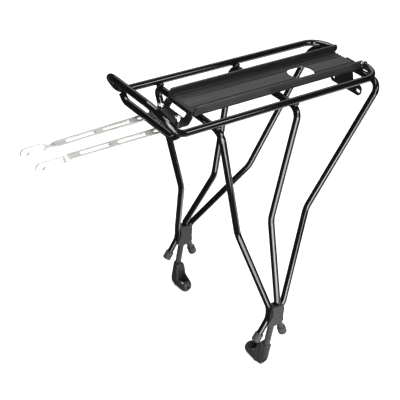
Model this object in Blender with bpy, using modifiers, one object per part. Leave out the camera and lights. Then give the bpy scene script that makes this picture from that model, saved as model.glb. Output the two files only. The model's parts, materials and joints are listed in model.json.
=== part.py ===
"""Bicycle rear rack: gloss black tube frame, grooved deck, two slotted stays and offset feet.

Frame: X forward, Y to the bicycle's left, Z up, in metres. The origin is the midpoint of the
two dropout bolt holes in the feet. The tubes are 10 mm; each leg hoop is one bent tube that
passes under the deck and both rails.
"""
import math

import bmesh
import bpy
from mathutils import Matrix, Vector

MM = 0.001
GAP = 0.3 * MM              # between neighbouring solids

# ---- driving dimensions -------------------------------------------------------------------
TUBE_R = 5.0 * MM
TUBE_SIDES = 3              # bevel resolution of the tubes
RAIL_Y = 66.8 * MM          # rail centre line, each side
RAIL_Z = 418.5 * MM
CROSS_Z = RAIL_Z - 2 * TUBE_R - GAP

REAR_X = -199.2 * MM        # where the rails turn inward at the rear
REAR_BEND_R = 32 * MM
BUMPER_START_X = 162 * MM   # where the rails turn up into the front hoop
BUMPER_X = 190 * MM
BUMPER_Z = 455 * MM
BUMPER_BEND_R = 26 * MM
BUMPER_CORNER_R = 33 * MM

LOW_BAR_X = 160.5 * MM      # dropped bar under the front hoop
LOW_BAR_Z = 408.3 * MM
LOW_BAR_Y = 54.0 * MM       # where its ends turn up and out toward the rails

DECK_FRONT_X = 110 * MM
DECK_REAR_X = -197 * MM
DECK_HALF_WIDTH = 31.1 * MM
DECK_BOTTOM_Z = CROSS_Z + TUBE_R + GAP
DECK_PLATE_T = 2.0 * MM
DECK_HEIGHT = 12.2 * MM
DECK_WALL_T = 2.2 * MM
DECK_LIP = 1.2 * MM
DECK_CENTRE_HALF = 10.5 * MM
GROOVES_PER_SIDE = 5
GROOVE_DEPTH = 0.7 * MM
DECK_HOLE_X = -103 * MM
DECK_HOLE_LENGTH = 43 * MM
DECK_HOLE_WIDTH = 31 * MM

LEG_PLANE_Y = 117 * MM      # plane of the junction lugs, struts and stubs
ELBOW_R = 17 * MM
KNEE_R = 40 * MM

STAY_Y = 19.2 * MM
STAY_Z = 399.85 * MM        # mid-thickness of the stays at their clamps
STAY_TOE_IN = math.radians(0.9)
STAY_PITCH = math.radians(1.0)
STAY_T = 2.5 * MM
STAY_W = 14 * MM
SLOT_W = 6.2 * MM
CLAMP_X = 128 * MM
BOLT_R = 2.8 * MM
SHOULDER_R = 3.4 * MM

PART = "rear_rack"


# ---- helpers ------------------------------------------------------------------------------
def clear_scene():
    for old in list(bpy.data.objects):
        bpy.data.objects.remove(old, do_unlink=True)


def collection(name):
    made = bpy.data.collections.get(name) or bpy.data.collections.new(name)
    if made.name not in bpy.context.scene.collection.children:
        bpy.context.scene.collection.children.link(made)
    return made


def material(name, colour, roughness, metallic):
    made = bpy.data.materials.new(name)
    made.use_nodes = True
    shader = made.node_tree.nodes["Principled BSDF"]
    shader.inputs["Base Color"].default_value = (*colour, 1)
    shader.inputs["Roughness"].default_value = roughness
    shader.inputs["Metallic"].default_value = metallic
    return made


def link(obj, finish=None, cutter=False):
    (CUTTERS if cutter else PARTS).objects.link(obj)
    if cutter:
        obj.hide_render = True
        obj.display_type = "WIRE"
    if finish:
        obj.data.materials.append(FINISH[finish])
    return obj


def v(x, y, z):
    """A point given in millimetres."""
    return Vector((x, y, z)) * MM


def filleted(points, radii, step=math.radians(15)):
    """The polyline through points with each inner corner rounded to its radius."""
    path = [points[0]]
    for before, corner, after, radius in zip(points, points[1:], points[2:], radii):
        back = (before - corner).normalized()
        ahead = (after - corner).normalized()
        half = back.angle(ahead) / 2
        centre = corner + (back + ahead).normalized() * (radius / math.sin(half))
        first = corner + back * (radius / math.tan(half)) - centre
        last = corner + ahead * (radius / math.tan(half)) - centre
        sweep = first.angle(last)
        count = max(2, round(sweep / step))
        for index in range(count + 1):
            part = index / count
            arm = first * math.sin((1 - part) * sweep) + last * math.sin(part * sweep)
            path.append(centre + arm / math.sin(sweep))
    return path + [points[-1]]


def curve_object(name, path, radius, sides=TUBE_SIDES):
    data = bpy.data.curves.new(name, "CURVE")
    data.dimensions = "3D"
    data.bevel_depth = radius
    data.bevel_resolution = sides
    data.use_fill_caps = True
    spline = data.splines.new("POLY")
    spline.points.add(len(path) - 1)
    for point, place in zip(spline.points, path):
        point.co = (*place, 1)
    return bpy.data.objects.new(name, data)


def tube(name, path, finish="frame", radius=TUBE_R, cutter=False):
    return link(curve_object(name, path, radius), finish, cutter)


def as_mesh(obj):
    """Replace a curve object by its welded mesh, so that it can be cut or can cut."""
    bpy.context.view_layer.update()
    evaluated = obj.evaluated_get(bpy.context.evaluated_depsgraph_get())
    data = bpy.data.meshes.new_from_object(evaluated)
    bm = bmesh.new()
    bm.from_mesh(data)
    bmesh.ops.remove_doubles(bm, verts=bm.verts, dist=1e-6)
    bmesh.ops.recalc_face_normals(bm, faces=bm.faces)
    bm.to_mesh(data)
    bm.free()
    name, place, homes = obj.name, obj.matrix_world.copy(), list(obj.users_collection)
    hidden = obj.hide_render
    bpy.data.objects.remove(obj, do_unlink=True)
    made = bpy.data.objects.new(name, data)
    made.matrix_world = place
    made.hide_render = hidden
    made.display_type = "WIRE" if hidden else "TEXTURED"
    for home in homes:
        home.objects.link(made)
    return made


def outline_plate(name, outlines, thickness, place, finish=None, cutter=False):
    """A flat plate: the first outline less the others, centred on the local XY plane."""
    data = bpy.data.curves.new(name, "CURVE")
    data.dimensions = "2D"
    data.fill_mode = "BOTH"
    data.extrude = thickness / 2
    for outline in outlines:
        spline = data.splines.new("POLY")
        spline.points.add(len(outline) - 1)
        for point, (x, y) in zip(spline.points, outline):
            point.co = (x, y, 0, 1)
        spline.use_cyclic_u = True
    obj = bpy.data.objects.new(name, data)
    obj.matrix_world = place
    return as_mesh(link(obj, finish, cutter))


def arc(cx, cy, radius, start, end, count=8):
    """Points on an arc, angles in degrees."""
    angles = [math.radians(start + (end - start) * i / count) for i in range(count + 1)]
    return [(cx + radius * math.cos(a), cy + radius * math.sin(a)) for a in angles]


def stadium(cx, cy, length, width, count=8):
    """A slot outline along local X."""
    reach = (length - width) / 2
    right = arc(cx + reach, cy, width / 2, -90, 90, count)
    left = arc(cx - reach, cy, width / 2, 90, 270, count)
    return right + left


def rounded_polygon(points, radii, count=5):
    """A closed 2D outline with each corner rounded to its radius."""
    outline = []
    total = len(points)
    for index, (corner, radius) in enumerate(zip(points, radii)):
        here = Vector(corner).to_3d()
        before = Vector(points[index - 1]).to_3d()
        after = Vector(points[(index + 1) % total]).to_3d()
        if radius <= 0:
            outline.append((here.x, here.y))
            continue
        step = math.pi / count
        path = filleted([before, here, after], [radius], step / 2)
        outline += [(p.x, p.y) for p in path[1:-1]]
    return outline


def cylinder(name, radius, length, place, finish=None, sides=24, top_radius=None, cutter=False):
    """A cylinder or cone along local Z, centred on its middle."""
    data = bpy.data.meshes.new(name)
    bm = bmesh.new()
    top = radius if top_radius is None else top_radius
    bmesh.ops.create_cone(bm, cap_ends=True, segments=sides, radius1=radius, radius2=top, depth=length)
    bm.to_mesh(data)
    bm.free()
    obj = bpy.data.objects.new(name, data)
    obj.matrix_world = place
    return link(obj, finish, cutter)


def box(name, low, high, finish=None, cutter=False):
    data = bpy.data.meshes.new(name)
    bm = bmesh.new()
    bmesh.ops.create_cube(bm, size=1)
    size = high - low
    bmesh.ops.scale(bm, vec=size, verts=bm.verts)
    bmesh.ops.translate(bm, vec=(low + high) / 2, verts=bm.verts)
    bm.to_mesh(data)
    bm.free()
    return link(bpy.data.objects.new(name, data), finish, cutter)


def turned(name, profile, place, finish, sides=20):
    """A solid of revolution about local Z from (radius, height) points, outer side top to bottom."""
    data = bpy.data.meshes.new(name)
    bm = bmesh.new()
    verts = [bm.verts.new((radius, 0, height)) for radius, height in profile]
    for first, second in zip(verts, verts[1:]):
        bm.edges.new((first, second))
    bm.to_mesh(data)
    bm.free()
    obj = link(bpy.data.objects.new(name, data), finish)
    obj.matrix_world = place
    screw = obj.modifiers.new("turn", "SCREW")
    screw.steps = sides
    screw.render_steps = sides
    screw.use_merge_vertices = True
    screw.merge_threshold = 1e-6
    return obj


def combine(obj, other, operation):
    """Apply one exact Boolean of obj with other."""
    step = obj.modifiers.new(operation.lower(), "BOOLEAN")
    step.operation = operation
    step.solver = "EXACT"
    step.object = other
    return obj


def along(point, direction):
    """A placement at point with local Z along direction."""
    return Matrix.Translation(point) @ direction.to_track_quat("Z", "Y").to_matrix().to_4x4()


def upright_xz(y):
    """Local X and Y become world X and Z, on the plane at y; local Z points to -Y."""
    return Matrix.Translation((0, y, 0)) @ Matrix.Rotation(math.pi / 2, 4, "X")


def upright_yz(x):
    """Local X and Y become world Y and Z, on the plane at x; local Z points to +X."""
    axes = Matrix(((0, 0, 1, 0), (1, 0, 0, 0), (0, 1, 0, 0), (0, 0, 0, 1)))
    return Matrix.Translation((x, 0, 0)) @ axes


def mirrored(points):
    """The points and then their mirror images in reverse, for a symmetric hoop."""
    return points + [Vector((p.x, -p.y, p.z)) for p in reversed(points)]


def flipped(points, side):
    return [Vector((p.x, side * p.y, p.z)) for p in points]


def sided(name, side):
    return f"{name}_{'left' if side > 0 else 'right'}"


# ---- frame tubes --------------------------------------------------------------------------
def rail_path():
    half = [
        Vector((REAR_X, DECK_HALF_WIDTH + GAP, RAIL_Z)),
        Vector((REAR_X, RAIL_Y, RAIL_Z)),
        Vector((BUMPER_START_X, RAIL_Y, RAIL_Z)),
        Vector((BUMPER_X, RAIL_Y, BUMPER_Z)),
    ]
    radii = [REAR_BEND_R, BUMPER_BEND_R, BUMPER_CORNER_R]
    return filleted(mirrored(half), radii + radii[::-1])


def low_bar_path():
    """The dropped bar meets the underside of the rails at its two turned-up ends."""
    half = [
        Vector((LOW_BAR_X, RAIL_Y - 3.9 * MM, RAIL_Z - 2.3 * MM)),
        Vector((LOW_BAR_X, LOW_BAR_Y, LOW_BAR_Z)),
    ]
    return filleted(mirrored(half), [14 * MM, 14 * MM])


FRONT_LEG = [v(22.0, 117, 50.2), v(3.6, 117, 83.0), v(5.0, 117, 104.6), v(42.7, 68.4, 223.5), v(98.3, 73.1, 0)]
MIDDLE_LEG = [v(-9.3, 117, 104.5), v(-9.7, 117, 111.0), v(-19.6, 68.3, 226.5), v(-35.8, 73.8, 0)]
REAR_LEG = [v(-17.4, 117, 96.6), v(-22.4, 117, 105.4), v(-89.9, 68.1, 223.0), v(-194.7, 72.2, 0)]
REAR_STUB = [v(-19.2, 117, 69.8), v(-31.0, 117.6, 43.2)]
STRUT = [v(-5.3, 117, 66), v(-1.1, 117, 16.3)]


def leg_path(points, radii):
    half = [p.copy() for p in points]
    half[-1].z = CROSS_Z
    return filleted(mirrored(half), radii + radii[::-1])


def build_frame_tubes():
    tube("rail_tube", rail_path())
    tube("low_front_bar", low_bar_path())
    tube("front_leg_tube", leg_path(FRONT_LEG, [28 * MM, 35 * MM, KNEE_R, ELBOW_R]))
    tube("middle_leg_tube", leg_path(MIDDLE_LEG, [12 * MM, KNEE_R, ELBOW_R]))
    tube("rear_leg_tube", leg_path(REAR_LEG, [12 * MM, KNEE_R, ELBOW_R]))


# ---- lower ends ---------------------------------------------------------------------------
LUG_OUTLINE = [
    (3.0, 106.5), (-13.6, 106.0), (-18.5, 103.6), (-22.0, 97.6), (-22.0, 84.0), (-24.0, 71.8),
    (-15.2, 66.0), (-12.6, 70.0), (-10.8, 66.5), (1.5, 68.5), (7.4, 73.5), (0.2, 86.4),
]
LUG_T = 12.4 * MM


def build_lug(side):
    """The welded web where the legs, the stub and the strut of one side meet."""
    name = sided("junction_lug", side)
    outline = [(x * MM, z * MM) for x, z in LUG_OUTLINE]
    lug = outline_plate(name, [outline], LUG_T, upright_xz(side * LEG_PLANE_Y), "lug")
    front = filleted(flipped(FRONT_LEG[:4], side), [28 * MM, 35 * MM])
    middle = filleted(flipped(MIDDLE_LEG[:3], side), [12 * MM])
    rear = filleted(flipped(REAR_LEG[:3], side), [12 * MM])
    paths = [front, middle, rear, flipped(REAR_STUB, side), flipped(STRUT, side)]
    for index, path in enumerate(paths):
        path[0] = path[0] + (path[0] - path[1]).normalized() * GAP
        groove = tube(f"{name}_groove_{index + 1}", path, None, TUBE_R + GAP, cutter=True)
        combine(lug, as_mesh(groove), "DIFFERENCE")


CAP_R = 7.1 * MM
CAP_BORE_R = TUBE_R + GAP
CAP_PROFILE = [
    (0.0, 0.0), (CAP_R * 0.86, 0.0), (CAP_R, -1.2 * MM), (CAP_R * 0.94, -13.5 * MM), (CAP_R * 0.88, -14.2 * MM),
    (CAP_BORE_R, -14.2 * MM), (CAP_BORE_R, -3.2 * MM), (0.0, -3.2 * MM),
]


def build_cap(name, side, stub):
    """A rubber cup over a stub's end, the first point; local Z points out of the tube's end."""
    tip, inner = flipped(stub, side)
    direction = (tip - inner).normalized()
    mouth = tip + direction * (3.2 * MM + GAP)
    turned(sided(name, side), CAP_PROFILE, along(mouth, direction), "rubber")


# Sections of a foot from the bolt boss outboard (mm): y, x range, z range, corner radius, and
# how far the section leans with the strut.
FOOT_SECTIONS = [
    (80.6, -6.0, 7.2, -6.6, 6.6, 6.0, 0.0),
    (82.0, -7.6, 8.8, -8.3, 8.4, 7.0, 0.0),
    (86.0, -8.8, 9.4, -9.6, 10.4, 7.0, 0.0),
    (94.0, -9.8, 9.6, -10.0, 11.5, 6.0, 0.0),
    (103.0, -10.0, 9.2, -10.0, 14.5, 5.0, 0.0),
    (107.6, -9.2, 8.0, -10.0, 27.0, 4.0, 1.0),
    (109.4, -8.2, 6.4, -10.0, 31.0, 4.0, 1.0),
    (118.5, -7.9, 5.7, -9.6, 31.0, 4.5, 1.0),
    (121.5, -6.9, 4.7, -3.0, 30.6, 4.0, 1.0),
    (123.2, -5.4, 3.2, 6.0, 30.0, 3.0, 1.0),
]
POCKET_X = (-6.4, 5.4)
POCKET_Y = (88.0, 106.5)
FRONT_CUT = [(86.0, 3.5), (101.0, 5.5), (106.5, 22.0), (106.5, 60.0), (86.0, 60.0)]


def foot_ring(bm, section, side):
    """One rounded rectangle of a foot, leaning with the strut about the socket's floor."""
    y, x_low, x_high, z_low, z_high, corner, lean = section
    top, bottom = STRUT
    slope = lean * (top.x - bottom.x) / (top.z - bottom.z)
    outline = []
    for x, z, start in ((x_high, z_high, 0), (x_low, z_high, 90), (x_low, z_low, 180), (x_high, z_low, 270)):
        cx = x - math.copysign(corner, x)
        cz = z - corner if start < 180 else z + corner
        outline += arc(cx, cz, corner, start, start + 90, 5)
    place = [v(x, side * y, z) for x, z in outline]
    return [bm.verts.new(p + Vector((slope * (p.z - bottom.z), 0, 0))) for p in place]


def build_foot(side):
    """A cast foot: strut socket outboard, round bolt boss inboard, an open pocket between them."""
    name = sided("foot", side)
    data = bpy.data.meshes.new(name)
    bm = bmesh.new()
    rings = [foot_ring(bm, section, side) for section in FOOT_SECTIONS]
    for first, second in zip(rings, rings[1:]):
        for index in range(len(first)):
            after = (index + 1) % len(first)
            bm.faces.new((first[index], first[after], second[after], second[index]))
    bm.faces.new(rings[0])
    bm.faces.new(rings[-1])
    bmesh.ops.recalc_face_normals(bm, faces=bm.faces)
    bm.to_mesh(data)
    bm.free()
    foot = link(bpy.data.objects.new(name, data), "cast")
    near, far = sorted((side * POCKET_Y[0], side * POCKET_Y[1]))
    pocket = box(f"{name}_pocket", v(POCKET_X[0], near, -20), v(POCKET_X[1], far, 60), cutter=True)
    combine(foot, pocket, "DIFFERENCE")
    outline = [(side * y * MM, z * MM) for y, z in FRONT_CUT][::side]
    front_low, front_high = POCKET_X[0] * MM, 20 * MM
    front = outline_plate(f"{name}_front_cut", [outline], front_high - front_low,
                          upright_yz((front_low + front_high) / 2), cutter=True)
    combine(foot, front, "DIFFERENCE")
    top, bottom = flipped(STRUT, side)
    rising = (top - bottom).normalized()
    bore = cylinder(f"{name}_socket_bore", TUBE_R + GAP, 40 * MM,
                    along(bottom + rising * (20 * MM - GAP), rising), cutter=True)
    combine(foot, bore, "DIFFERENCE")
    across = Matrix.Rotation(math.pi / 2, 4, "X")
    hole = cylinder(f"{name}_bolt_hole", 2.6 * MM, 80 * MM,
                    Matrix.Translation((0, side * 100 * MM, 0)) @ across, cutter=True)
    combine(foot, hole, "DIFFERENCE")
    recess = cylinder(f"{name}_counterbore", 5.4 * MM, 20 * MM,
                      Matrix.Translation((0, side * 122 * MM, 0)) @ across, cutter=True)
    combine(foot, recess, "DIFFERENCE")


def build_lower_end(side):
    build_lug(side)
    tube(sided("rear_stub", side), flipped(REAR_STUB, side), "lug")
    tube(sided("strut", side), flipped(STRUT, side), "lug")
    build_cap("front_stub_cap", side, FRONT_LEG[:2])
    build_cap("rear_stub_cap", side, REAR_STUB[::-1])
    build_foot(side)


# ---- deck ---------------------------------------------------------------------------------
def deck_section():
    """Half of the extruded section, from the centre line outward, as (y, z)."""
    top = DECK_BOTTOM_Z + DECK_PLATE_T
    high = DECK_BOTTOM_Z + DECK_HEIGHT
    inner = DECK_HALF_WIDTH - DECK_LIP - DECK_WALL_T
    section = [(0, top), (DECK_CENTRE_HALF, top)]
    pitch = (inner - DECK_CENTRE_HALF) / GROOVES_PER_SIDE
    for index in range(GROOVES_PER_SIDE):
        start = DECK_CENTRE_HALF + index * pitch
        floor = top - GROOVE_DEPTH
        section += [(start + 0.15 * pitch, floor), (start + 0.5 * pitch, floor), (start + 0.65 * pitch, top)]
        if index < GROOVES_PER_SIDE - 1:
            section.append((start + pitch, top))
    outer = DECK_HALF_WIDTH - DECK_LIP
    section += [
        (inner, top), (inner, high), (DECK_HALF_WIDTH, high), (DECK_HALF_WIDTH, high - 1.6 * MM),
        (outer, high - 2.2 * MM), (outer, DECK_BOTTOM_Z + 1.5 * MM), (DECK_HALF_WIDTH, DECK_BOTTOM_Z + 1.0 * MM),
        (DECK_HALF_WIDTH, DECK_BOTTOM_Z),
    ]
    return section


def build_deck():
    half = deck_section()
    section = half + [(-y, z) for y, z in reversed(half) if y > 0]
    length = DECK_FRONT_X - DECK_REAR_X
    middle = (DECK_FRONT_X + DECK_REAR_X) / 2
    deck = outline_plate("deck_plate", [section], length, upright_yz(middle), "deck")
    over = DECK_BOTTOM_Z + DECK_HEIGHT + 1 * MM
    under = DECK_BOTTOM_Z - 1 * MM
    corner = 9 * MM
    profile = [(DECK_REAR_X - 1 * MM, under), (DECK_FRONT_X + 1 * MM, under),
               (DECK_FRONT_X + 1 * MM, DECK_BOTTOM_Z + DECK_PLATE_T + 0.55 * MM)]
    profile += arc(DECK_FRONT_X - corner - 0.15 * MM, over - 0.85 * MM - corner, corner, 5, 90, 6)
    profile += [(DECK_FRONT_X - corner - 0.5 * MM, over), (DECK_REAR_X - 1 * MM, over)]
    envelope = outline_plate("deck_side_profile", [profile], 80 * MM, upright_xz(0), cutter=True)
    combine(deck, envelope, "INTERSECT")
    hole = outline_plate("deck_oval", [stadium(DECK_HOLE_X, 0, DECK_HOLE_LENGTH, DECK_HOLE_WIDTH)],
                         30 * MM, Matrix.Translation((0, 0, DECK_BOTTOM_Z)), cutter=True)
    combine(deck, hole, "DIFFERENCE")


# ---- front bracket, stays and their clamps ------------------------------------------------
TAB_T = 1.6 * MM
TAB_BOTTOM_Z = STAY_Z + STAY_T / 2 + 0.5 * MM
FACE_LEAN = math.radians(33)
LIP_LOW_Z = 412.2 * MM


def build_front_bracket():
    """Bent sheet: a leaning windowed face at the deck's front edge and a tab to the dropped bar."""
    tab_outline = rounded_polygon(
        [(117, -30), (139, -29), (152.5, -14), (154.6, -14), (154.6, 14), (152.5, 14), (139, 29), (117, 30)],
        [0, 8, 2, 1, 1, 2, 8, 0],
    )
    tab_outline = [(x * MM, y * MM) for x, y in tab_outline]
    place = Matrix.Translation((0, 0, TAB_BOTTOM_Z + TAB_T / 2))
    bracket = outline_plate("front_bracket", [tab_outline], TAB_T, place, "bracket")
    lean = Matrix.Translation(v(114.3, 0, 408.3)) @ Matrix.Rotation(-FACE_LEAN, 4, "Y")
    face_outline = [(-30, -6.2), (30, -6.2), (30, 5.6), (-30, 5.6)]
    face_outline = [(y * MM, z * MM) for y, z in face_outline]
    face = outline_plate("front_bracket_face", [face_outline], TAB_T, lean @ upright_yz(0), cutter=True)
    combine(bracket, face, "UNION")
    lip_top = DECK_BOTTOM_Z + DECK_PLATE_T + GAP + TAB_T
    front = DECK_FRONT_X + GAP + TAB_T
    lip = [(DECK_FRONT_X - 5.5 * MM, lip_top - TAB_T), (front - TAB_T, lip_top - TAB_T),
           (front - TAB_T, LIP_LOW_Z), (front, LIP_LOW_Z), (front, lip_top), (DECK_FRONT_X - 5.5 * MM, lip_top)]
    lip = outline_plate("front_bracket_lip", [lip], 53 * MM, upright_xz(0), cutter=True)
    combine(bracket, lip, "UNION")
    window = [(-16.7, -2.6), (16.7, -2.6), (16.7, 4.0), (-16.7, 4.0)]
    window = [(y * MM, z * MM) for y, z in window]
    opening = outline_plate("front_bracket_window", [window], 8 * MM, lean @ upright_yz(0), cutter=True)
    combine(bracket, opening, "DIFFERENCE")
    for side in (1, -1):
        hole = cylinder(sided("front_bracket_hole", side), BOLT_R + GAP, 12 * MM,
                        Matrix.Translation((CLAMP_X, side * STAY_Y, TAB_BOTTOM_Z)), cutter=True)
        combine(bracket, hole, "DIFFERENCE")
    slot = outline_plate("front_bracket_slot", [stadium(0, 0, 16 * MM, 5 * MM)], 8 * MM,
                         Matrix.Translation(v(148.5, 0, 0) + Vector((0, 0, TAB_BOTTOM_Z)))
                         @ Matrix.Rotation(math.pi / 2, 4, "Z"), cutter=True)
    combine(bracket, slot, "DIFFERENCE")


# Along each stay, from its clamp (mm): the slots' centres and lengths, then the stations.
SLOTS = [(123.0, 43.5), (69.3, 43.5), (15.5, 44.0)]
STAY_BACK = -13.5 * MM
TWIST_START = 156 * MM
TWIST_END = 180 * MM
STAY_HOLE = 197 * MM
STAY_END = 205.5 * MM
STAY_DROP = 1.2 * MM
STAY_OFFSET = 3.2 * MM      # of the upright tab, outward from the strap's centre line


def stay_sections(side):
    """Cross sections of the twisted end as (x, y, z, roll angle, half width)."""
    sections = [(TWIST_START - 4 * MM, 0.0, 0.0, 0.0, STAY_W / 2)]
    count = 8
    for index in range(count + 1):
        part = index / count
        smooth = part * part * (3 - 2 * part)
        x = TWIST_START + (TWIST_END - TWIST_START) * part
        neck = 1 - 0.34 * math.sin(math.pi * part) ** 2
        sections.append((x, side * STAY_OFFSET * smooth, -STAY_DROP * smooth,
                         -side * smooth * math.pi / 2, STAY_W / 2 * neck))
    tip = (side * STAY_OFFSET, -STAY_DROP, -side * math.pi / 2)
    sections.append((STAY_END - 4 * MM, *tip, STAY_W / 2))
    sections.append((STAY_END, *tip, STAY_W / 2 - 3.5 * MM))
    return sections


def build_stay(side):
    """A flat slotted strap whose front end is twisted a quarter turn into an upright tab."""
    name = sided("stay", side)
    place = Matrix.Translation((CLAMP_X, side * STAY_Y, STAY_Z))
    place = place @ Matrix.Rotation(-side * STAY_TOE_IN, 4, "Z") @ Matrix.Rotation(STAY_PITCH, 4, "Y")
    reach = TWIST_START - 4 * MM
    strap = rounded_polygon(
        [(STAY_BACK, -STAY_W / 2), (reach, -STAY_W / 2), (reach, STAY_W / 2), (STAY_BACK, STAY_W / 2)],
        [3 * MM, 0, 0, 3 * MM],
    )
    stay = outline_plate(name, [strap], STAY_T, place, "stay")
    for index, (x, length) in enumerate(SLOTS):
        slot = stadium(x * MM, 0, length * MM, SLOT_W)
        cutter = outline_plate(f"{name}_slot_{index + 1}", [slot], 3 * STAY_T, place, cutter=True)
        combine(stay, cutter, "DIFFERENCE")
    end = bpy.data.meshes.new(f"{name}_end")
    bm = bmesh.new()
    rings = []
    for x, y, z, roll, half in stay_sections(side):
        turn = Matrix.Rotation(roll, 3, "X")
        ring = []
        for across, up in ((-half, -1), (half, -1), (half, 1), (-half, 1)):
            offset = turn @ Vector((0, across, up * STAY_T / 2))
            ring.append(bm.verts.new(Vector((x, y, z)) + offset))
        rings.append(ring)
    for first, second in zip(rings, rings[1:]):
        for index in range(4):
            after = (index + 1) % 4
            bm.faces.new((first[index], first[after], second[after], second[index]))
    bm.faces.new(rings[0])
    bm.faces.new(rings[-1])
    bmesh.ops.recalc_face_normals(bm, faces=bm.faces)
    bm.to_mesh(end)
    bm.free()
    twisted = link(bpy.data.objects.new(f"{name}_end", end), None, cutter=True)
    twisted.matrix_world = place
    combine(stay, twisted, "UNION")
    across = Matrix.Rotation(math.pi / 2, 4, "X")
    tip = Matrix.Translation((STAY_HOLE, side * STAY_OFFSET, -STAY_DROP))
    hole = cylinder(f"{name}_tip_hole", 3.1 * MM, 20 * MM, place @ tip @ across, cutter=True)
    combine(stay, hole, "DIFFERENCE")


def build_clamp(side):
    """The bolt, washer and nut that hold one stay under the tab."""
    y = side * STAY_Y
    axis = bpy.data.objects.new(sided("clamp_axis", side), None)
    axis.location = (CLAMP_X, y, STAY_Z)
    PARTS.objects.link(axis)
    head_low = 408.4 * MM
    shoulder_low = TAB_BOTTOM_Z + TAB_T + GAP
    end_low = 389.6 * MM
    bolt = [
        (0, 412.4 * MM), (4.0 * MM, 412.4 * MM), (4.9 * MM, 411.4 * MM), (4.9 * MM, head_low),
        (SHOULDER_R, head_low), (SHOULDER_R, shoulder_low), (BOLT_R, shoulder_low),
        (BOLT_R, end_low + 0.6 * MM), (BOLT_R - 0.6 * MM, end_low), (0, end_low),
    ]
    stay_low = STAY_Z - STAY_T / 2
    washer_top = stay_low - 0.45 * MM
    nut_top = washer_top - 1.2 * MM - GAP
    bore = BOLT_R + GAP
    washer = [(6.2 * MM, washer_top), (6.2 * MM, washer_top - 1.2 * MM), (bore, washer_top - 1.2 * MM),
              (bore, washer_top), (6.2 * MM, washer_top)]
    place = Matrix.Translation((CLAMP_X, y, 0))
    turned(sided("stay_bolt", side), bolt, place, "chrome", 24)
    turned(sided("stay_washer", side), washer, place, "chrome", 24)
    nut_height = 4.8 * MM
    nut = cylinder(sided("stay_nut", side), 5.75 * MM, nut_height,
                   Matrix.Translation((CLAMP_X, y, nut_top - nut_height / 2)), "chrome", 6)
    bore_cut = cylinder(sided("stay_nut_bore", side), bore, 20 * MM,
                        Matrix.Translation((CLAMP_X, y, nut_top)), cutter=True)
    combine(nut, bore_cut, "DIFFERENCE")


# ---- rear light bracket -------------------------------------------------------------------
LIGHT_BRACKET_X = -204.2 * MM


def build_light_bracket():
    """A flat plate across the back with one round and one long hole, and a pad to the crossbar."""
    outline = rounded_polygon(
        [(-32.4, 365.4), (32.4, 365.4), (32.4, 382.5), (13, 382.5), (8.5, 396), (8.5, 413.2),
         (-8.5, 413.2), (-8.5, 396), (-13, 382.5), (-32.4, 382.5)],
        [6, 6, 7, 5, 5, 0, 0, 5, 5, 7],
    )
    outline = [(y * MM, z * MM) for y, z in outline]
    round_hole = [(x, z) for x, z in arc(-26.5 * MM, 372.7 * MM, 2.7 * MM, 0, 337.5, 15)]
    long_hole = stadium(26.5 * MM, 372.7 * MM, 9 * MM, 5.4 * MM)
    plate = outline_plate("light_bracket", [outline, round_hole, long_hole], 2.5 * MM,
                          upright_yz(LIGHT_BRACKET_X), "bracket")
    crossbar_back = REAR_LEG[-1].x - TUBE_R
    pad = box("light_bracket_pad", Vector((LIGHT_BRACKET_X, -7 * MM, 403.5 * MM)),
              Vector((crossbar_back - GAP, 7 * MM, 412.5 * MM)), cutter=True)
    combine(plate, pad, "UNION")


def build():
    build_frame_tubes()
    build_deck()
    build_front_bracket()
    build_light_bracket()
    for side in (1, -1):
        build_lower_end(side)
        build_stay(side)
        build_clamp(side)
    for obj in PARTS.objects:
        if obj.type == "MESH":
            obj.data.shade_smooth()
            obj.data.set_sharp_from_angle(angle=math.radians(35))


clear_scene()
PARTS = collection(PART)
CUTTERS = collection(f"{PART}_cutters")
FINISH = {
    "frame": material("gloss_black_paint", (0.012, 0.012, 0.013), 0.22, 0.0),
    "lug": material("satin_black_cast", (0.035, 0.035, 0.037), 0.45, 0.2),
    "cast": material("satin_black_cast_foot", (0.03, 0.03, 0.032), 0.45, 0.2),
    "deck": material("satin_black_anodised", (0.045, 0.045, 0.05), 0.4, 0.6),
    "bracket": material("black_steel_sheet", (0.02, 0.02, 0.021), 0.35, 0.2),
    "rubber": material("black_rubber", (0.03, 0.03, 0.03), 0.8, 0.0),
    "stay": material("silver_strap", (0.62, 0.61, 0.6), 0.35, 1.0),
    "chrome": material("chrome_fastener", (0.8, 0.8, 0.8), 0.12, 1.0),
}
build()
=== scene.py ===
"""Bicycle rear rack: fine surfaces, materials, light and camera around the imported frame.

Metres, X forward, Y to the bicycle's left, Z up. Places come from the CAD nodes and the record.
"""
import json
import math

import bmesh
import bpy
from mathutils import Matrix, Vector


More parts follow.
